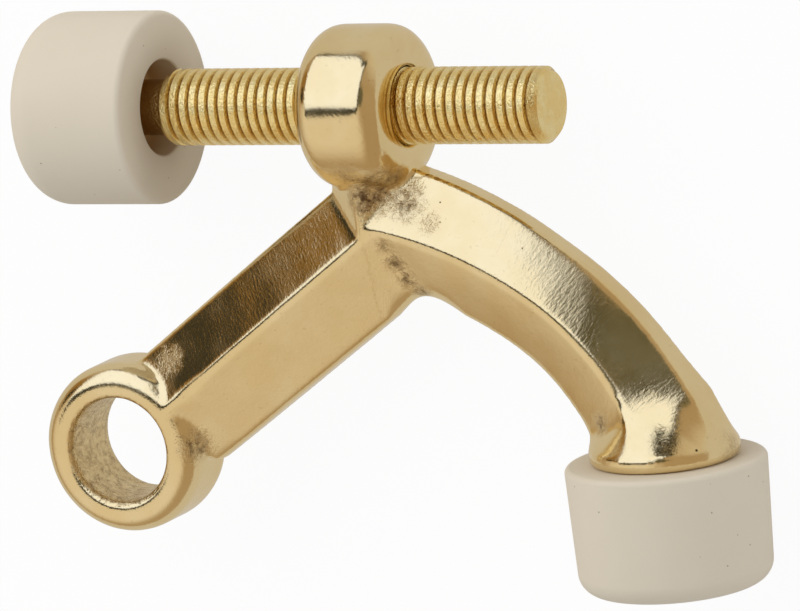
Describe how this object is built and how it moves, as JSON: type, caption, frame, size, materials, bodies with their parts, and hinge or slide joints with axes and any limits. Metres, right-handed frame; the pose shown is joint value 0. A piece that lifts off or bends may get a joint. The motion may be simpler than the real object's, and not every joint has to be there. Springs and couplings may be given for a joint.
{
  "type": "hinge pin door stop",
  "caption": "Cast brass door stop that hangs on a hinge pin, with a fixed rubber tip on a curved arm and a threaded rod with a second rubber tip to set the opening.",
  "frame": {"origin": "centre of the hinge pin bore, half way through its ring", "axes": "+Z along the hinge pin, +X along the adjusting screw from its rubber tip to its free end, -Y the way the fixed rubber tip points"},
  "size_m": [0.0639, 0.0476, 0.0164],
  "materials": {
    "polished_brass": "polished casting",
    "screw_brass": "rolled thread, brass plated",
    "cream_rubber": "matte moulded rubber"
  },
  "bodies": {
    "casting": {"body_casting": "polished_brass", "fixed_bumper": "cream_rubber"},
    "tip": {"adjustable_bumper": "cream_rubber"},
    "screw": {"adjusting_screw": "screw_brass"}
  },
  "joints": [
    {"name": "screw_travel", "type": "slide", "parent": "casting", "child": "tip", "axis": [1, 0, 0], "range_m": [-0.0127, 0.013]},
    {"name": "screw_turn", "type": "hinge", "parent": "tip", "child": "screw", "pos_m": [0.02475, 0.02817, 0], "axis": [1, 0, 0], "range_deg": [-5700, 5700]}
  ],
  "couplings": [
    {"joint": "screw_turn", "follows": "screw_travel", "rad_per_m": 6926.4}
  ]
}
